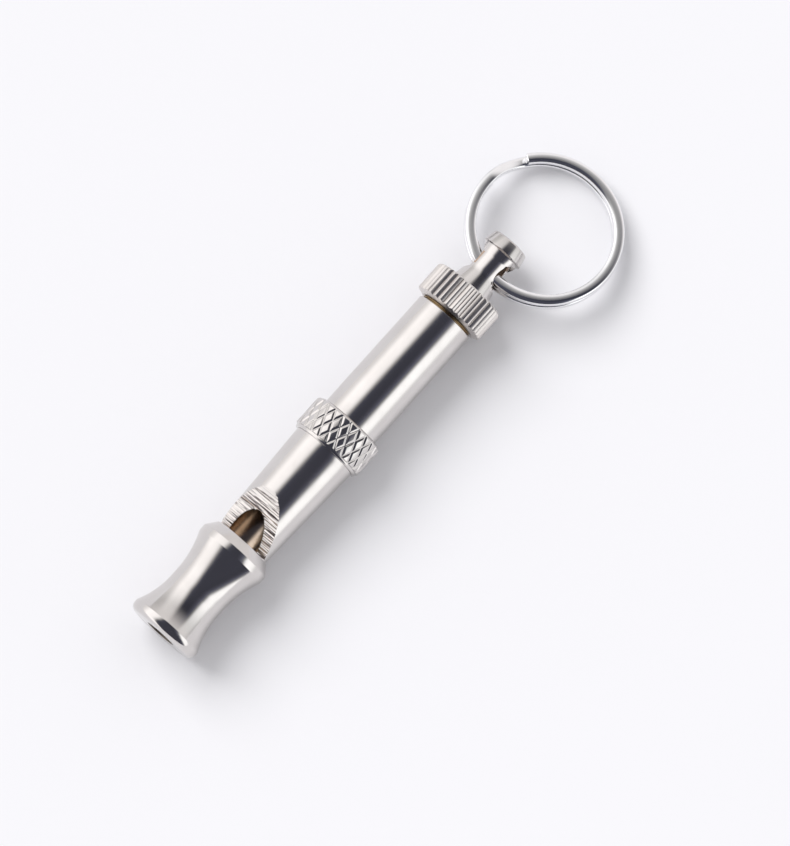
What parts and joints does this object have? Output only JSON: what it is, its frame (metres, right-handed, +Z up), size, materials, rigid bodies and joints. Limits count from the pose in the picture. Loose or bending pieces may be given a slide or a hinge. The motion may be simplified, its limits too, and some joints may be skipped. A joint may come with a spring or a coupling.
{
  "type": "training whistle",
  "caption": "Metal training whistle with a slanted sound window, a screw-driven tuning piston locked by a fluted nut, and a split ring in the tuning rod's head.",
  "frame": {"origin": "centre of the mouthpiece's blowing face, on the whistle's axis", "axes": "+X along the whistle's axis from the mouthpiece to the split ring, +Z up with the whistle lying on its side"},
  "size_m": [0.0986, 0.025, 0.0125],
  "materials": {
    "nickel_plate": "polished nickel plate on brass",
    "bare_brass": "turned, unplated",
    "ring_steel": "polished, nickel plated",
    "seal_rubber": "moulded"
  },
  "bodies": {
    "whistle": {"mouthpiece": "nickel_plate", "windway_plug": "bare_brass", "sounding_tube": "nickel_plate", "knurled_collar": "nickel_plate", "barrel": "nickel_plate", "threaded_bush": "bare_brass"},
    "piston": {"piston": "bare_brass", "piston_seal": "seal_rubber"},
    "tuning_rod": {"tuning_rod": "nickel_plate"},
    "lock_washer": {"lock_washer": "bare_brass"},
    "lock_nut": {"lock_nut": "nickel_plate"},
    "split_ring": {"split_ring": "ring_steel"}
  },
  "joints": [
    {"name": "rod_travel", "type": "slide", "parent": "whistle", "child": "piston", "axis": [1, 0, 0], "range_m": [0, 0.008]},
    {"name": "rod_turn", "type": "hinge", "parent": "piston", "child": "tuning_rod", "pos_m": [0.05, 0, 0], "axis": [1, 0, 0], "range_deg": [0, 3600]},
    {"name": "nut_travel", "type": "slide", "parent": "whistle", "child": "lock_washer", "axis": [1, 0, 0], "range_m": [0, 0.00074]},
    {"name": "nut_turn", "type": "hinge", "parent": "lock_washer", "child": "lock_nut", "pos_m": [0.069, 0, 0], "axis": [1, 0, 0], "range_deg": [0, 330]},
    {"name": "ring_swing", "type": "hinge", "parent": "tuning_rod", "child": "split_ring", "pos_m": [0.0757, 0, 0], "axis": [0, -0.9962, 0.0872], "range_deg": [-147, 140]}
  ],
  "couplings": [
    {"joint": "rod_travel", "follows": "rod_turn", "m_per_rad": 0.00012732},
    {"joint": "nut_travel", "follows": "nut_turn", "m_per_rad": 0.00012732}
  ]
}
